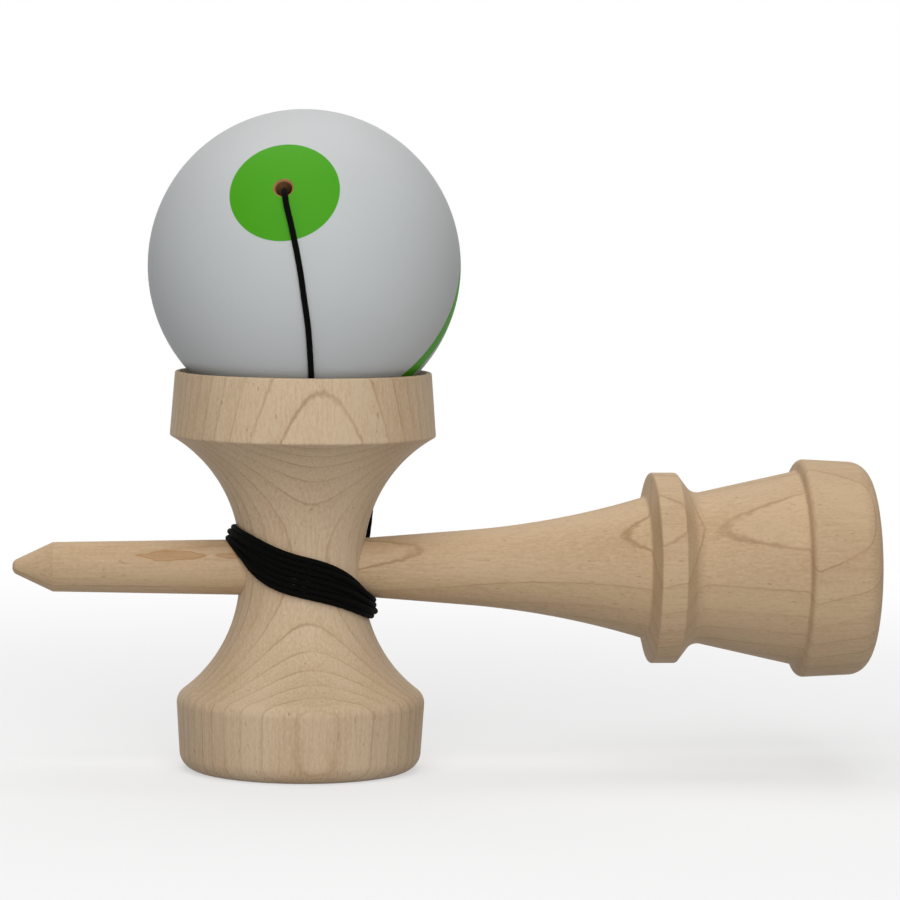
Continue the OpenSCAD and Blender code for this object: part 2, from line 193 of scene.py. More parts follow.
def turned(name, profile, origin, along, side, materials, sides=160, closed=False, face_material=None):
    """A piece turned on a lathe: the profile's (radius, distance) points are carried round the axis through
    origin. A closed profile makes a ring. An open one starts and ends on the axis."""
    along, side = np.asarray(along, float), np.asarray(side, float)
    angle = 2 * np.pi * np.arange(sides) / sides
    spoke = np.cos(angle)[:, None] * side + np.sin(angle)[:, None] * np.cross(along, side)
    rings = profile if closed else profile[1:-1]
    points = (origin + rings[:, 1, None, None] * along + rings[:, 0, None, None] * spoke).reshape(-1, 3)
    if not closed:
        points = np.vstack([points, origin + profile[[0, -1], 1][:, None] * along])
    if face_material is not None:
        face_material = np.repeat(face_material, sides)
    return make_piece(name, placed(points), tube_faces(len(rings), sides, closed), materials, face_material)


def cord_tube(name, path, diameter, material, sides=14, plaits=4, pitch=2.4, relief=0.09, flush=0.85):
    """A braided cord: a circle carried along the path, whose radius swells on two families of plaits that
    wind opposite ways, so that they cross in diamonds. Where the swell is at flush, the radius is the cord's
    own. Each ring's side direction is the last one's, turned square to the new heading. The UV map gives
    turns round the cord and millimetres along it."""
    run = np.concatenate([[0], np.cumsum(np.linalg.norm(np.diff(path, axis=0), axis=1))])
    heading = np.gradient(path, axis=0)
    heading /= np.linalg.norm(heading, axis=1)[:, None]
    beside = np.empty_like(heading)
    # The first side direction only has to be square to the heading, so any slant does
    beside[0] = np.cross(heading[0], [0.3, 0.5, 1.0])
    beside[0] /= np.linalg.norm(beside[0])
    for i in range(1, len(path)):
        beside[i] = beside[i - 1] - (beside[i - 1] @ heading[i]) * heading[i]
        beside[i] /= np.linalg.norm(beside[i])
    third = np.cross(heading, beside)
    angle = 2 * np.pi * np.arange(sides) / sides
    half_wind = np.pi * run[:, None] / pitch
    one_way = np.abs(np.sin(plaits / 2 * angle + half_wind))
    other_way = np.abs(np.sin(plaits / 2 * angle - half_wind))
    radius = diameter / 2 * (1 + relief * (np.maximum(one_way, other_way) - flush))
    points = (path[:, None] + (radius * np.cos(angle))[..., None] * beside[:, None]
              + (radius * np.sin(angle))[..., None] * third[:, None])
    points = np.vstack([points.reshape(-1, 3), path[[0, -1]]])
    count = len(path)
    cord = make_piece(name, placed(points), tube_faces(count, sides), [material])
    corner = np.empty(len(cord.data.loops), np.int32)
    cord.data.loops.foreach_get("vertex_index", corner)
    around = np.where(corner < count * sides, corner % sides / sides, 0.5)
    along = run[np.minimum(corner // sides, count - 1)]
    # The seam's last column would run back to 0, so its far corners are lifted by a whole turn
    polygons = cord.data.polygons
    face = np.repeat(np.arange(len(polygons)), [polygon.loop_total for polygon in polygons])
    high = np.zeros(len(polygons))
    np.maximum.at(high, face, around)
    around = np.where((high[face] > 0.75) & (around < 0.25), around + 1, around)
    layer = cord.data.uv_layers.new(name="cord")
    layer.data.foreach_set("uv", np.stack([around, along], 1).ravel().astype(np.float32))
    return cord


# The cord's route, in millimetres on the cross piece's axis

# Out of the neck: from the knot in the ken to the hole's mouth, and round a bend of this radius and angle
KNOT_FRONT, HOLE_MOUTH_Y = -1.9, 11.4
EXIT_R, EXIT_TURN = 2.5, 130
# The loops round the neck, and where they start and end in degrees round the axis
LOOPS = 7
LOOPS_START, LOOPS_END = 108, 360 * LOOPS + 18
# The middle of the band of loops: how far it lies below the ken's axis, its slant from the left to the
# right, a wave in the slant, and its climb at the back
WOUND_BELOW, WOUND_SLANT, WOUND_WAVE, WOUND_BACK = 0.85, 5.95, 0.9, 6.0
# Room between the middles of two loops in front, and how much of it goes at the left and at the right
LOOP_GAP, GATHER_LEFT, GATHER_RIGHT = 1.135, 0.47, 0.5
# Share of its diameter that the cord keeps where one loop rides on another
PRESSED = 0.97
# What the loops are squeezed clear of, how softly, and how much of the squeeze turns into a bulge
SPIKE_R, HANDLE_R = 5.35, 5.85
SQUEEZE, BULGE = 0.3, 0.4
# How many times the loops are smoothed, because the cord is too stiff for a sharp corner
STIFFNESS = 2
# Up behind the handle, over the ken's axis
RISE_ROUTE = [
    [11.5, 6.3, -2.6], [11.8, 7.2, -0.9], [12.4, 8.3, 1.4], [13.1, 9.2, 4], [13.7, 10.4, 7.5],
    [14.3, 12.9, 12], [15.2, 16.8, 18.5], [16.2, 20.7, 25.2]
]
# Over the big cup's rim: turn round the axis, distance from it and height over the rim
RIM_ROUTE = [
    [53.5, 26.1, -8.8], [55.5, 25.75, -4.8], [58, 25.4, -1.2], [60.5, 25.15, 0.25], [63.5, 24.4, 0.75],
    [66.5, 23.6, 0.67]
]
# On the ball: turn round the axis, and angle up from the bottom of the ball
BALL_ROUTE = [
    [70, 48.5], [80, 44], [92, 37], [104, 29], [118, 21], [140, 13], [190, 8], [255, 11], [270, 20],
    [272, 30], [271, 40], [270, 50], [269, 60], [268, 70], [266.5, 80], [265, 90], [263, 100], [261, 108]
]
# Into the string hole, in the hole's own directions: down the ball, across, and out from its centre
HOLE_ROUTE = [
    [4.2, 1.05, 30.35], [2.3, 0.62, 30.6], [1.15, 0.33, 30.3], [0.35, 0.1, 29.45], [0, 0, 28.3],
    [0, 0, 25], [0, 0, 21], [0, 0, 16.3]
]


def spin(degrees, distance, height):
    """Points by their turn round the cross piece's axis, distance from it and height."""
    angle = np.radians(degrees)
    return np.stack([distance * np.cos(angle), distance * np.sin(angle), height + 0 * angle], -1)


def neck_wall(height):
    """Radius and slope of the neck and its flares, which are arcs, at heights over the ken's axis."""
    rise = np.where(height > 0, SARADO_H - BIG_BAND_H - KEN_Z, KEN_Z - SMALL_BAND_H) - NECK_LEN / 2
    out = np.where(height > 0, BIG_RIDGE_R, SMALL_RIDGE_R) - NECK_R
    arc_r = (out ** 2 + rise ** 2) / (2 * out)
    slope = np.arcsin(np.clip((np.abs(height) - NECK_LEN / 2) / arc_r, 0, 1))
    return NECK_R + arc_r * (1 - np.cos(slope)), slope


def loop_points(degrees):
    """The loops round the neck. Their band runs high over the spike at the left and low under the handle at
    the right. The loops lie side by side in front. At the sides they gather, and every second one rides up
    on its neighbours, just as far as the room between them is less than the cord's diameter. The loops that
    would sink into the spike or the handle are squeezed clear of it, and bulge."""
    angle = np.radians(degrees)
    turns = (degrees - 90) / 360
    across = np.cos(angle)
    back = np.clip(np.sin(angle), 0, None)
    middle = -WOUND_BELOW - WOUND_SLANT * across - WOUND_WAVE * np.cos(3 * angle) + WOUND_BACK * back ** 4
    climb = np.gradient(middle) / np.gradient(angle * (NECK_R + CORD_D / 2))
    apart = LOOP_GAP - np.where(across < 0, GATHER_LEFT * across ** 4, GATHER_RIGHT * across ** 2)
    height = middle + (turns - LOOPS / 2) * apart * np.sqrt(1 + climb ** 2)
    ride = np.floor(turns) % 2 * np.sqrt(np.clip((PRESSED * CORD_D) ** 2 - apart ** 2, 0, None))
    side = np.where(across < 0, 1, -1)
    reach = np.where(across < 0, SPIKE_R, HANDLE_R) + CORD_D / 2
    beside = (NECK_R + CORD_D / 2) * np.sin(angle)
    clear = np.sqrt(np.clip(reach ** 2 - beside ** 2, 0, None))
    squeezed = side * (clear + SQUEEZE * np.logaddexp(0, (side * height - clear) / SQUEEZE))
    squeezed = np.where(np.abs(beside) < reach, squeezed, height)
    wall, slope = neck_wall(squeezed)
    off_wall = CORD_D / 2 + CORD_GAP + ride + BULGE * np.abs(squeezed - height)
    rise = squeezed - np.sign(squeezed) * off_wall * np.sin(slope)
    return spin(degrees, wall + off_wall * np.cos(slope), KEN_Z + rise)


def through(route, rounds=5):
    """A smooth curve through the route: each round puts a point between each two, by the four-point rule."""
    for _ in range(rounds):
        before = np.vstack([route[:1], route[:-2]])
        after = np.vstack([route[2:], route[-1:]])
        middle = (9 * (route[:-1] + route[1:]) - before - after) / 16
        route = np.vstack([np.stack([route[:-1], middle], 1).reshape(-1, 3), route[-1:]])
    return route


def evenly(line, spacing):
    """The same line with points at even distances along it."""
    run = np.concatenate([[0], np.cumsum(np.linalg.norm(np.diff(line, axis=0), axis=1))])
    at = np.linspace(0, run[-1], int(run[-1] / spacing) + 1)
    return np.stack([np.interp(at, run, line[:, k]) for k in range(3)], 1)


def whole_cord():
    """The cord's middle line from its knot in the ken, out at the back of the neck, round in the loops, and
    on to the knot under the bead in the ball."""
    loops = loop_points(np.arange(LOOPS_START, LOOPS_END + 1, 3.0))
    for _ in range(STIFFNESS):
        loops[1:-1] = (loops[:-2] + 2 * loops[1:-1] + loops[2:]) / 4
    knot = [[0, KNOT_FRONT, KEN_Z]]
    bend = spin(np.arange(0, EXIT_TURN + 1, 5.0), EXIT_R, KEN_Z) + [-EXIT_R, HOLE_MOUTH_Y, 0]
    rise = np.array(RISE_ROUTE) + [0, 0, KEN_Z]
    turns, distance, over_rim = np.array(RIM_ROUTE).T
    rim = spin(turns, distance, SARADO_H + over_rim)
    turns, lift = np.array(BALL_ROUTE).T
    on_ball = BALL_R + CORD_D / 2 + CORD_GAP
    ball = spin(turns, on_ball * np.sin(np.radians(lift)), BALL_Z - on_ball * np.cos(np.radians(lift)))
    hole = BALL + np.array(HOLE_ROUTE) @ np.stack([HOLE_DOWN, HOLE_ACROSS, HOLE])
    # The bend runs straight on to the loops' ninth point, where it touches them. The last loop leaves the
    # neck through every third of its last points, as far apart as the route's own
    lead = through(np.vstack([loops[-7::3], rise, rim, ball, hole]))
    return evenly(np.vstack([knot, bend, loops[8:-7], lead]), spacing=0.25)


# Materials

def linear(colour):
    """A colour given as an sRGB hex string, as linear red, green, blue and alpha."""
    parts = np.array([int(colour[k:k + 2], 16) for k in (1, 3, 5)]) / 255
    light = np.where(parts <= 0.04045, parts / 12.92, ((parts + 0.055) / 1.055) ** 2.4)
    return (*light, 1.0)


# A Mix node's share, its two colours and its result go by number, because its names repeat
SHARE, FIRST, SECOND, RESULT = 0, 6, 7, 2


def add(tree, kind, inputs=(), out=0, **settings):
    """Adds a node and gives one of its outputs, by name or number, if it has any. Its settings come first.
    Then each input gets a constant or a link: a dictionary names them, and a list gives them in order."""
    node = tree.nodes.new(kind)
    for key, value in settings.items():
        setattr(node, key, value)
    for key, value in inputs.items() if isinstance(inputs, dict) else enumerate(inputs):
        if isinstance(value, bpy.types.NodeSocket):
            tree.links.new(value, node.inputs[key])
        else:
            node.inputs[key].default_value = value
    return node.outputs[out] if node.outputs else None


def new_material(name):
    """An empty node material and its tree."""
    material = bpy.data.materials.new(name)
    material.use_nodes = True
    material.node_tree.nodes.clear()
    return material, material.node_tree


def log_frame(fibre, outwards):
    """The turn that brings a piece of wood's fibres to Z and the way out of the trunk to Y."""
    fibre, outwards = np.asarray(fibre, float), np.asarray(outwards, float)
    fibre = fibre / np.linalg.norm(fibre)
    outwards = outwards - (outwards @ fibre) * fibre
    outwards /= np.linalg.norm(outwards)
    return Matrix((np.cross(outwards, fibre), outwards, fibre)).to_euler("XYZ")


# Half the width of the line that a year ring leaves, and how far a stain reaches, in millimetres
RING_LINE, STAIN_DEPTH = 0.17, 10.0


def bare_maple(name, fibre, outwards, shift, ring_gap, pale="#D2BA9B", deep="#B89A76", drift=(0, 0),
               stains=()):
    """Hard maple, turned and fine sanded, with no finish. It gives the eye a pale tan with thin brown lines
    where the year rings meet the surface, faint streaks along the fibres, a fine mottle and a few short dark
    flecks. Past the drift's start along the fibres, the rings run outwards by its slope. A stain is a brown
    mineral streak, given by its middle on the piece and by half its length and half its width."""
    material, tree = new_material(name)
    log_turn = log_frame(fibre, outwards)
    place = add(tree, "ShaderNodeMapping", {
        "Vector": add(tree, "ShaderNodeTexCoord", out="Object"),
        "Rotation": log_turn,
        "Scale": (1 / MM, 1 / MM, 1 / MM),
        "Location": shift,
    })

    def blots(across, along, detail=2.0):
        """Noise whose blots are this wide across the fibres and this long along them, in millimetres."""
        grain = (1 / across, 1 / across, 1 / along)
        drawn = add(tree, "ShaderNodeVectorMath", [place, grain], operation="MULTIPLY")
        return add(tree, "ShaderNodeTexNoise", {"Vector": drawn, "Scale": 1.0, "Detail": detail})

    def patches(across, along, detail, low, high):
        """Such noise, which keeps near its middle, spread from low to high."""
        return add(tree, "ShaderNodeMapRange", [blots(across, along, detail), 0.3, 0.7, low, high])

    # Year rings: the way out of the trunk, swayed over centimetres and jagged over tenths of a millimetre
    along = add(tree, "ShaderNodeSeparateXYZ", [place], "Z")
    past = add(tree, "ShaderNodeMath", [along, drift[0]], operation="SUBTRACT")
    past = add(tree, "ShaderNodeMath", [past, 0.0], operation="MAXIMUM")
    out = add(tree, "ShaderNodeSeparateXYZ", [place], "Y")
    for way, length in ((past, -drift[1]), (blots(26, 90, 1.0), 2.0), (blots(1.0, 1.8), 0.3)):
        out = add(tree, "ShaderNodeMath", [way, length, out], operation="MULTIPLY_ADD")
    year = add(tree, "ShaderNodeMath", [out, ring_gap], operation="DIVIDE")
    beside = add(tree, "ShaderNodeMath", [year, 0.5], operation="PINGPONG")
    line = add(tree, "ShaderNodeMapRange", [beside, 0.0, RING_LINE / ring_gap, 1.0, 0.0],
               interpolation_type="SMOOTHSTEP")
    # Each ring is marked more or less than the next, and fades here and there
    nearest = add(tree, "ShaderNodeMath", [year], operation="ROUND")
    marked = add(tree, "ShaderNodeTexWhiteNoise", {"W": nearest}, "Value", noise_dimensions="1D")
    marked = add(tree, "ShaderNodeMapRange", [marked, 0.0, 1.0, 0.25, 0.78])
    for fade in (patches(9, 30, 1.0, 0.25, 1.0), line):
        marked = add(tree, "ShaderNodeMath", [marked, fade], operation="MULTIPLY")
    # Streaks along the fibres, slow patches of tone, a fine mottle, and darker wood late in each year
    season = add(tree, "ShaderNodeMath", [year], operation="FRACT")
    late = add(tree, "ShaderNodeMapRange", [season, 0.45, 1.0, 0.0, 0.2])
    streak = patches(0.45, 12, 3.0, -0.1, 0.3)
    tone = streak
    for shade in (patches(14, 50, 1.0, -0.1, 0.35), patches(0.4, 0.9, 2.0, -0.2, 0.2), late):
        tone = add(tree, "ShaderNodeMath", [tone, shade], operation="ADD")
    fleck = add(tree, "ShaderNodeMapRange", [blots(0.45, 1.6, 0.0), 0.78, 0.84, 0.0, 0.4],
                interpolation_type="SMOOTHSTEP")
    colours = [(tone, deep), (marked, "#94704A"), (fleck, "#8A6A45")]
    # A stain tapers to both ends, has a ragged outline and is darkest along it
    for middle, half_length, half_width in stains:
        middle = log_turn.to_matrix() @ Vector(placed(middle) / MM) + Vector(shift)
        away = add(tree, "ShaderNodeVectorMath", [place, middle], operation="SUBTRACT")
        halves = (1 / half_width, 1 / STAIN_DEPTH, 1 / half_length)
        away = add(tree, "ShaderNodeVectorMath", [away, halves], operation="MULTIPLY")
        away = add(tree, "ShaderNodeVectorMath", [away], operation="ABSOLUTE")
        taper = add(tree, "ShaderNodeSeparateXYZ", [away], "Z")
        taper = add(tree, "ShaderNodeMath", [taper, 1.8], operation="POWER")
        away = add(tree, "ShaderNodeVectorMath", [away, (1, 1, 0)], "Value", operation="DOT_PRODUCT")
        away = add(tree, "ShaderNodeMath", [away, taper], operation="ADD")
        away = add(tree, "ShaderNodeMath", [blots(0.9, 2.5), 0.9, away], operation="MULTIPLY_ADD")
        fill = add(tree, "ShaderNodeMapRange", [away, 1.2, 1.4, 0.5, 0.0], interpolation_type="SMOOTHSTEP")
        edge = add(tree, "ShaderNodeMath", [away, 1.25, 0.14], operation="COMPARE")
        stain = add(tree, "ShaderNodeMath", [edge, 0.3, fill], operation="MULTIPLY_ADD")
        colours.append((stain, "#A87B4C"))
    colour = linear(pale)
    for share, darker in colours:
        both = {SHARE: share, FIRST: colour, SECOND: linear(darker)}
        colour = add(tree, "ShaderNodeMix", both, RESULT, data_type="RGBA")
    # Sanding leaves the fibres standing by a few hundredths of a millimetre
    relief = {"Height": blots(0.3, 5, 3.0), "Strength": 0.25, "Distance": 0.05 * MM}
    wood = add(tree, "ShaderNodeBsdfPrincipled", {
        "Base Color": colour,
        "Roughness": add(tree, "ShaderNodeMapRange", [streak, 0.0, 1.0, 0.58, 0.66]),
        "IOR": 1.5,
        "Specular IOR Level": 0.3,
        "Normal": add(tree, "ShaderNodeBump", relief),
    })
    add(tree, "ShaderNodeOutputMaterial", {"Surface": wood})
    return material


# Masks on the ball, in degrees: the disc's half angle, the band's middle and half width as angles from its
# own axis, and that axis
DISC_ANGLE, BAND_ANGLE, BAND_HALF = 20.2, 98.9, 4.6
BAND = direction(254, 27)


def ball_paint(name):
    """Satin paint sprayed on a turned ball, with a green disc round the string hole and a green band past
    the ball's middle. It gives the eye a soft, even sheen with no sharp glint, and edges that are masked and
    crisp."""
    material, tree = new_material(name)
    spot = add(tree, "ShaderNodeTexCoord", out="Object")
    out = add(tree, "ShaderNodeVectorMath", [spot, tuple(placed(BALL))], operation="SUBTRACT")
    out = add(tree, "ShaderNodeVectorMath", [out], operation="NORMALIZE")

    def angle_from(axis):
        """Angle between a place on the ball and an axis through its centre, in degrees."""
        along = add(tree, "ShaderNodeVectorMath", [out, tuple(axis)], "Value", operation="DOT_PRODUCT")
        angle = add(tree, "ShaderNodeMath", [along], operation="ARCCOSINE")
        return add(tree, "ShaderNodeMath", [angle], operation="DEGREES")

    def masked(angle, width):
        """1 up to this width and 0 past it. Like a mask's, the edge is soft over a tenth of a millimetre."""
        return add(tree, "ShaderNodeMapRange", [angle, width - 0.1, width + 0.1, 1.0, 0.0])

    disc = masked(angle_from(HOLE), DISC_ANGLE)
    off_band = add(tree, "ShaderNodeMath", [angle_from(BAND), BAND_ANGLE], operation="SUBTRACT")
    off_band = add(tree, "ShaderNodeMath", [off_band], operation="ABSOLUTE")
    green = add(tree, "ShaderNodeMath", [disc, masked(off_band, BAND_HALF)], operation="MAXIMUM")
    cloud = add(tree, "ShaderNodeTexNoise", {"Vector": spot, "Scale": 1 / (18 * MM), "Detail": 2.0})
    whites = {SHARE: cloud, FIRST: linear("#C9CCCC"), SECOND: linear("#C4C7C6")}
    greens = {SHARE: cloud, FIRST: linear("#469E0C"), SECOND: linear("#439A0A")}
    white, leaf = (add(tree, "ShaderNodeMix", both, RESULT, data_type="RGBA") for both in (whites, greens))
    both = {SHARE: green, FIRST: white, SECOND: leaf}
    # Spray leaves a faint ripple about a millimetre wide
    ripple = add(tree, "ShaderNodeTexNoise", {"Vector": spot, "Scale": 1 / (1.1 * MM), "Detail": 1.0})
    relief = {"Height": ripple, "Strength": 0.12, "Distance": 0.04 * MM}
    paint = add(tree, "ShaderNodeBsdfPrincipled", {
        "Base Color": add(tree, "ShaderNodeMix", both, RESULT, data_type="RGBA"),
        "Roughness": add(tree, "ShaderNodeMapRange", [cloud, 0.0, 1.0, 0.56, 0.64]),
        "IOR": 1.5,
        "Specular IOR Level": 0.2,
        "Normal": add(tree, "ShaderNodeBump", relief),
    })
    add(tree, "ShaderNodeOutputMaterial", {"Surface": paint})
    return material


# Yarns round the cord, and the room between two of them along it, in millimetres
YARNS, YARN_GAP = 6, 0.3


def braided_polyester(name):
    """Black polyester yarn braided round itself. It gives the eye a matt black with a dim sheen on each
    plait, and fine yarns along the plaits, drawn twice as coarse as real ones so that they show. Each yarn's
    crest is painted a lighter black, as a painted highlight."""
    material, tree = new_material(name)
    place = add(tree, "ShaderNodeUVMap", uv_map="cord")
    around, along = (add(tree, "ShaderNodeSeparateXYZ", [place], axis) for axis in "XY")
    yarn = add(tree, "ShaderNodeMath", [along, 2 * np.pi / YARN_GAP], operation="MULTIPLY")
    yarn = add(tree, "ShaderNodeMath", [around, 2 * np.pi * YARNS, yarn], operation="MULTIPLY_ADD")
    yarn = add(tree, "ShaderNodeMath", [yarn], operation="SINE")
    spot = add(tree, "ShaderNodeTexCoord", out="Object")
    fuzz = add(tree, "ShaderNodeTexNoise", {"Vector": spot, "Scale": 1 / (0.5 * MM), "Detail": 2.0})
    # Painted highlight: each yarn's raised crest is painted a lighter black, broken up by the fuzz
    tone = add(tree, "ShaderNodeMapRange", [yarn, -1.0, 1.0, 0.0, 0.5])
    tone = add(tree, "ShaderNodeMath", [tone, fuzz], operation="MULTIPLY")
    black_with_painted_highlight = {SHARE: tone, FIRST: linear("#070706"), SECOND: linear("#141312")}
    relief = {"Height": yarn, "Strength": 0.4, "Distance": 0.04 * MM}
    yarns = add(tree, "ShaderNodeBsdfPrincipled", {
        "Base Color": add(tree, "ShaderNodeMix", black_with_painted_highlight, RESULT, data_type="RGBA"),
        "Roughness": 0.75,
        "Specular IOR Level": 0.03,
        "Sheen Weight": 0.01,
        "Sheen Roughness": 0.5,
        "Normal": add(tree, "ShaderNodeBump", relief),
    })
    add(tree, "ShaderNodeOutputMaterial", {"Surface": yarns})
    return material


def moulded_nylon(name):
    """A small moulded nylon bead. It gives the eye a dull grey with a soft shine and a faint texture of the
    mould."""
    material, tree = new_material(name)
    spot = add(tree, "ShaderNodeTexCoord", out="Object")
    grit = add(tree, "ShaderNodeTexNoise", {"Vector": spot, "Scale": 1 / (0.4 * MM), "Detail": 2.0})
    greys = {SHARE: grit, FIRST: linear("#4A4A4A"), SECOND: linear("#585858")}
    relief = {"Height": grit, "Strength": 0.2, "Distance": 0.03 * MM}
    plastic = add(tree, "ShaderNodeBsdfPrincipled", {
        "Base Color": add(tree, "ShaderNodeMix", greys, RESULT, data_type="RGBA"),
        "Roughness": 0.4,
        "IOR": 1.53,
        "Normal": add(tree, "ShaderNodeBump", relief),
    })
    add(tree, "ShaderNodeOutputMaterial", {"Surface": plastic})
    return material


def dress(piece, node, body):
    """Lets the piece stand for a CAD node and ride on its body."""
    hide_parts(node)
    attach(piece, body)


# The cord, its knots and the bead

braid = braided_polyester("braided_polyester")
path = whole_cord()
string = cord_tube("string", path, CORD_D, braid)
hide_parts("string_anchor", "string_winding", "string_lead")
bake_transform(string)


def overhand_knot(name, centre, along, side):
    """A tight overhand knot: the cord, pressed a little, carried along a trefoil round its own line."""
    along, side = np.asarray(along, float), np.asarray(side, float)
    third = np.cross(along, side)
    angle = 2 * np.pi * np.linspace(0, 1, 241)
    wide = KNOT_R / 3 * (np.sin(angle) + 2 * np.sin(2 * angle))
    deep = KNOT_R / 3 * (np.cos(angle) - 2 * np.cos(2 * angle))
    high = -KNOT_RISE * np.sin(3 * angle)
    line = centre + wide[:, None] * side + deep[:, None] * third + high[:, None] * along
    return cord_tube(name, line, 0.95 * CORD_D, braid)


KNOT_R, KNOT_RISE, KNOT_LEN = 1.08, 0.7, 2.5
BEAD_BOTTOM, BEAD_TOP, BEAD_R, BEAD_HOLE_R = 16.3, 20.8, 3.4, 0.95
under_bead = BALL + (BEAD_BOTTOM - KNOT_LEN / 2) * HOLE
bead_knot = overhand_knot("bead_knot_tied", under_bead, HOLE, HOLE_ACROSS)
dress(bead_knot, "bead_knot", "bead_on_string")
in_ken = np.array([0, KNOT_FRONT - KNOT_LEN / 2, KEN_Z])
ken_knot = overhand_knot("ken_knot_tied", in_ken, [0, 1, 0], [1, 0, 0])
dress(ken_knot, "ken_knot", "ken_assembly")

bead_edge = (BEAD_TOP - BEAD_BOTTOM) / 4
bead_profile = finely(rounded([
    [BEAD_HOLE_R, BEAD_BOTTOM, 0],
    [BEAD_R, BEAD_BOTTOM, bead_edge],
    [BEAD_R, BEAD_TOP, bead_edge],
    [BEAD_HOLE_R, BEAD_TOP, 0],
]), spacing=0.2)
nylon = moulded_nylon("moulded_nylon")
bead = turned("bead_moulded", bead_profile, BALL, HOLE, HOLE_ACROSS, [nylon], sides=48, closed=True)
dress(bead, "bead", "bead_on_string")


# Ken: spike, handle, collar, waist and base cup, turned round the X axis

spike_stains = [
    ((-25.2, -4.4, KEN_Z + 2.65), 7.7, 1.3),
    ((-13.8, -4.5, KEN_Z + 2.6), 3.8, 0.7),
]
ken_maple = bare_maple("bare_maple_of_ken", [1, 0, 0], [0, -0.79, 0.62], (3, -0.59, 12), ring_gap=4.2,
                       pale="#C8AC89", deep="#AF906C", drift=(-30.45, 0.155), stains=spike_stains)
SPIKE_LEN, POINT_LEN, POINT_R, TIP_R = 55.5, 7.7, 4.75, 1.1
SEAT_X, SEAT_R = 13.0, 5.75
TAPER, TAPER_END = np.radians(4.5), 32.0
COLLAR_X, COLLAR_FOOT_R, COLLAR_R, COLLAR_LEAN, COLLAR_W = 66.4, 13.75, 18.5, 1.3, 4.8
WAIST_X, WAIST_R = 75.7, 14.35
STEP_X, STEP_R, STEP_LEAN = 96.1, 18.9, 0.6
BASE_LEN, BASE_R, BASE_RIM_R, BASE_MOUTH_R, BASE_DEPTH = 110.4, 21.25, 20.6, 16.4, 10.0

taper_end_r = SEAT_R + (TAPER_END - SEAT_X) * np.tan(TAPER)
handle = tangent_arc([taper_end_r, TAPER_END], np.pi / 2 - TAPER, [COLLAR_FOOT_R, COLLAR_X])
collar_start = COLLAR_X + COLLAR_LEAN
collar_end = collar_start + COLLAR_W
ken_profile = rounded(np.vstack([
    [[0, -SPIKE_LEN, 0], [TIP_R, -SPIKE_LEN, 1.41], [POINT_R, POINT_LEN - SPIKE_LEN, 0.6]],
    [[SEAT_R, SEAT_X, 0]],
    sharp(handle[:-1]),
    [[COLLAR_FOOT_R, COLLAR_X, 0.8], [COLLAR_R, collar_start, 0.5], [COLLAR_R, collar_end, 0.5]],
    [[WAIST_R, WAIST_X, 3], [STEP_R, STEP_X, 0.7], [BASE_R, STEP_X + STEP_LEAN, 1.29]],
    [[BASE_RIM_R, BASE_LEN, 4], [BASE_MOUTH_R, BASE_LEN, 0.25]],
    sharp(dish(BASE_MOUTH_R, BASE_DEPTH, BASE_LEN, -1)[1:]),
]))
ken_axis = np.array([0, 0, KEN_Z])
ken = turned("ken_turned", finely(ken_profile, spacing=0.5), ken_axis, [1, 0, 0], [0, 1, 0], [ken_maple])
dress(ken, "ken", "ken_assembly")


# Sarado: the big cup, the neck and the small cup, turned round the Z axis, and drilled for ken and cord

sarado_maple = bare_maple("bare_maple_of_sarado", [0, -0.054, 1], [0.07, -1, 0], (0, 3.1, 0), ring_gap=2.3)
big_ridge_z = SARADO_H - BIG_BAND_H
small_flare = tangent_arc([NECK_R, KEN_Z - NECK_LEN / 2], -np.pi / 2, [SMALL_RIDGE_R, SMALL_BAND_H])
big_flare = tangent_arc([NECK_R, KEN_Z + NECK_LEN / 2], np.pi / 2, [BIG_RIDGE_R, big_ridge_z])
# The small flare's last points make way for the round edge of its ridge
sarado_profile = rounded(np.vstack([
    sharp(dish(SMALL_MOUTH_R, SMALL_DEPTH, 0, 1)[:0:-1]),
    [[SMALL_MOUTH_R, 0, 0.25], [SMALL_RIM_R, 0, 3.6], [SMALL_RIDGE_R, SMALL_BAND_H, 3]],
    sharp(small_flare[-4::-1]),
    sharp(big_flare[:-1]),
    [[BIG_RIDGE_R, big_ridge_z, 0.5], [BIG_RIM_R, SARADO_H, 0.4], [BIG_MOUTH_R, SARADO_H, 0.2]],
    sharp(dish(BIG_MOUTH_R, BIG_DEPTH, SARADO_H, -1)[1:]),
]))
sarado_profile = finely(sarado_profile, spacing=0.5)
sarado = turned("sarado_turned", sarado_profile, np.zeros(3), [0, 0, 1], [1, 0, 0], [sarado_maple])


def drill(piece, name, origin, along, side, radii, length):
    """Cuts a straight or tapered hole, with these radii at its two ends, through the piece's wall."""
    ends = [[0, 0], [radii[0], 0], [radii[1], length], [0, length]]
    tool = turned(name, np.array(ends, float), np.asarray(origin, float), along, side, [], sides=96)
    cut = piece.modifiers.new(name, "BOOLEAN")
    cut.object = tool
    cut.solver = "EXACT"
    drilled = bpy.data.meshes.new_from_object(piece.evaluated_get(bpy.context.evaluated_depsgraph_get()))
    piece.modifiers.clear()
    piece.data = drilled
    bpy.data.objects.remove(tool)


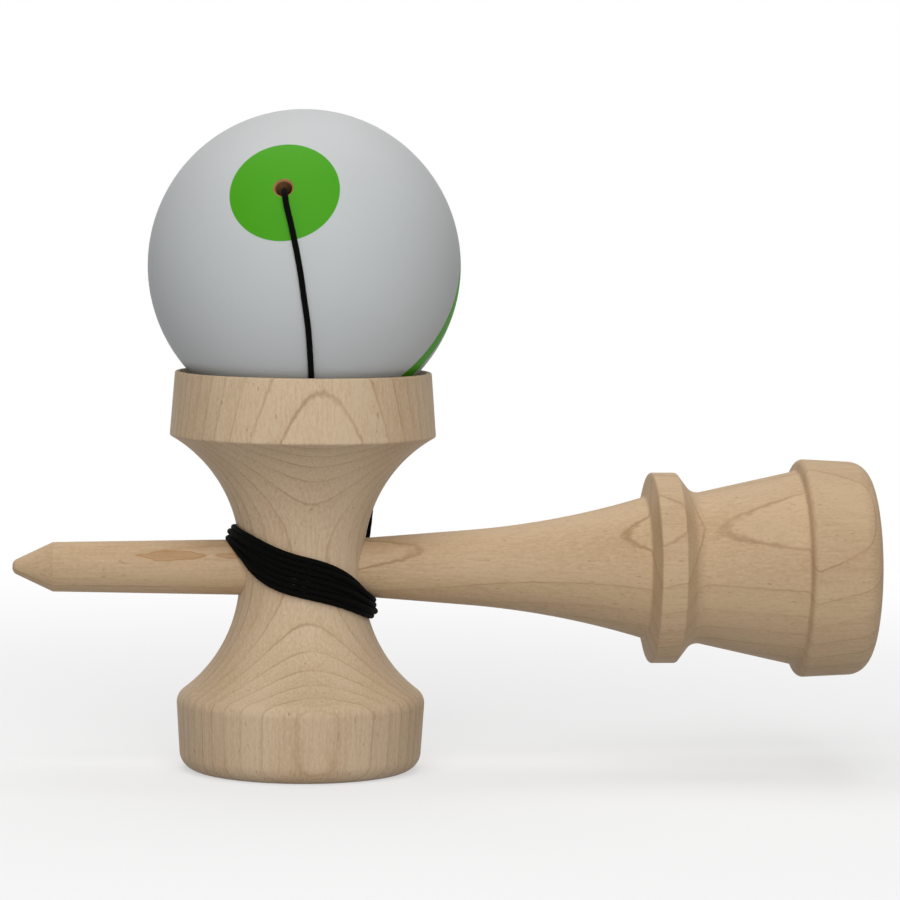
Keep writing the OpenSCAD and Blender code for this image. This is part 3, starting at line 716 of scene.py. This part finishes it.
# The ken's hole has the spike's taper, with a seam round it that shows as a thin dark line
SEAM, HALF_CUT, CORD_HOLE_R = 0.09, 30, 1.3
slope = (SEAT_R - POINT_R) / (SEAT_X + SPIKE_LEN - POINT_LEN)
middle_r = SEAT_R - SEAT_X * slope + SEAM
ken_hole_radii = [middle_r - HALF_CUT * slope, middle_r + HALF_CUT * slope]
drill(sarado, "ken_hole", [-HALF_CUT, 0, KEN_Z], [1, 0, 0], [0, 1, 0], ken_hole_radii, 2 * HALF_CUT)
drill(sarado, "cord_hole", [0, 2, KEN_Z], [0, 1, 0], [1, 0, 0], [CORD_HOLE_R, CORD_HOLE_R], HALF_CUT)
sarado.data.set_sharp_from_angle(angle=np.radians(35))
dress(sarado, "sarado", "ken_assembly")


# Tama: the painted ball, turned round the line of its holes, with bare wood in them

hole_maple = bare_maple("bare_maple_in_ball", [0, 0.2, 1], [0.3, -1, 0], (7, 4, 2), ring_gap=2.3,
                        pale="#B08456", deep="#8E6840")
STRING_HOLE_R, STRING_BEVEL, SPIKE_HOLE_R, SPIKE_BEVEL = 1.6, 0.35, 10.5, 1.6
SPIKE_HOLE_END, POCKET_END, POCKET_R = 13.5, 21.0, 4.0
lip_r, mouth_r = STRING_HOLE_R + STRING_BEVEL, SPIKE_HOLE_R + SPIKE_BEVEL
sweep = np.linspace(np.arcsin(lip_r / BALL_R), np.pi - np.arcsin(mouth_r / BALL_R), 220)
shell = BALL_R * np.stack([np.sin(sweep), np.cos(sweep)], 1)
lip_at, mouth_at = shell[[0, -1], 1]
bore = finely([
    [mouth_r, mouth_at], [SPIKE_HOLE_R, mouth_at + SPIKE_BEVEL], [SPIKE_HOLE_R, SPIKE_HOLE_END],
    [POCKET_R, SPIKE_HOLE_END], [POCKET_R, POCKET_END], [STRING_HOLE_R, POCKET_END],
    [STRING_HOLE_R, lip_at - STRING_BEVEL], [lip_r, lip_at]
], spacing=0.8)
tama_profile = np.vstack([shell, bore[1:-1]])
bare = np.arange(len(tama_profile)) >= len(shell) - 1
paints = [ball_paint("satin_paint"), hole_maple]
tama = turned("tama_painted", tama_profile, BALL, HOLE, HOLE_ACROSS, paints, closed=True,
              face_material=bare)
tama.data.set_sharp_from_angle(angle=np.radians(25))
dress(tama, "tama", "tama")


# Floor, light and world

def seen_directly(tree):
    """1 on rays that show the background to the eye: straight, in a gloss or through glass."""
    seen = add(tree, "ShaderNodeLightPath", out="Is Camera Ray")
    for kind in ("Is Glossy Ray", "Is Transmission Ray"):
        also = add(tree, "ShaderNodeLightPath", out=kind)
        seen = add(tree, "ShaderNodeMath", [seen, also], operation="MAXIMUM")
    return seen


# The floor takes the object's shadow near it, and fades to plain white further off. Distances in metres
FLOOR_REACH, FADE_START, FADE_END = 3.0, 0.1, 0.4
floor_material, tree = new_material("matt_white_floor")
seen = seen_directly(tree)
spot = add(tree, "ShaderNodeTexCoord", out="Object")
away = add(tree, "ShaderNodeVectorMath", [spot], "Value", operation="LENGTH")
fade = add(tree, "ShaderNodeMapRange", [away, FADE_START, FADE_END, 0.55, 1.0],
           interpolation_type="SMOOTHSTEP")
plain = add(tree, "ShaderNodeMath", [fade, seen], operation="MULTIPLY")
greys = {SHARE: seen, FIRST: linear("#B8BABE"), SECOND: linear("#FAFAFA")}
matt = add(tree, "ShaderNodeBsdfDiffuse", [add(tree, "ShaderNodeMix", greys, RESULT, data_type="RGBA")])
glow = add(tree, "ShaderNodeEmission", {"Color": (1, 1, 1, 1), "Strength": 1.0})
faded = add(tree, "ShaderNodeMixShader", [plain, matt, glow])
add(tree, "ShaderNodeOutputMaterial", {"Surface": faded})
corners = FLOOR_REACH * np.array([[-1.0, -1, 0], [1, -1, 0], [1, 1, 0], [-1, 1, 0]])
floor = make_piece("floor", corners, [np.array([[0, 1, 2, 3]])], [floor_material])


def soft_box(name, at, size, level, aim=(20, 0, 60)):
    """A square soft box at a place in millimetres, turned to its aim. A level of 1 lights a surface that
    faces it so that its colour shows as written: the lamp's power is the level times (pi times the distance)
    squared."""
    lamp = bpy.data.objects.new(name, bpy.data.lights.new(name, "AREA"))
    way = Vector(placed(at)) - Vector(placed(aim))
    lamp.data.size = size
    lamp.data.energy = level * (np.pi * way.length) ** 2
    lamp.matrix_world = Matrix.Translation(placed(at)) @ way.to_track_quat("Z", "Y").to_matrix().to_4x4()
    bpy.context.scene.collection.objects.link(lamp)


soft_box("key", (-120, -800, 1000), 0.9, 0.41)
soft_box("front", (0, -1300, 260), 1.0, 0.51)
soft_box("top", (0, 350, 1100), 0.9, 0.42)

world = bpy.data.worlds.new("studio")
bpy.context.scene.world = world
world.use_nodes = True
tree = world.node_tree
tree.nodes.clear()
level = add(tree, "ShaderNodeMapRange", [seen_directly(tree), 0.0, 1.0, 0.15, 1.0])
sky = add(tree, "ShaderNodeBackground", {"Color": (1, 1, 1, 1), "Strength": level})
add(tree, "ShaderNodeOutputWorld", {"Surface": sky})
bpy.context.scene.view_settings.view_transform = "Standard"
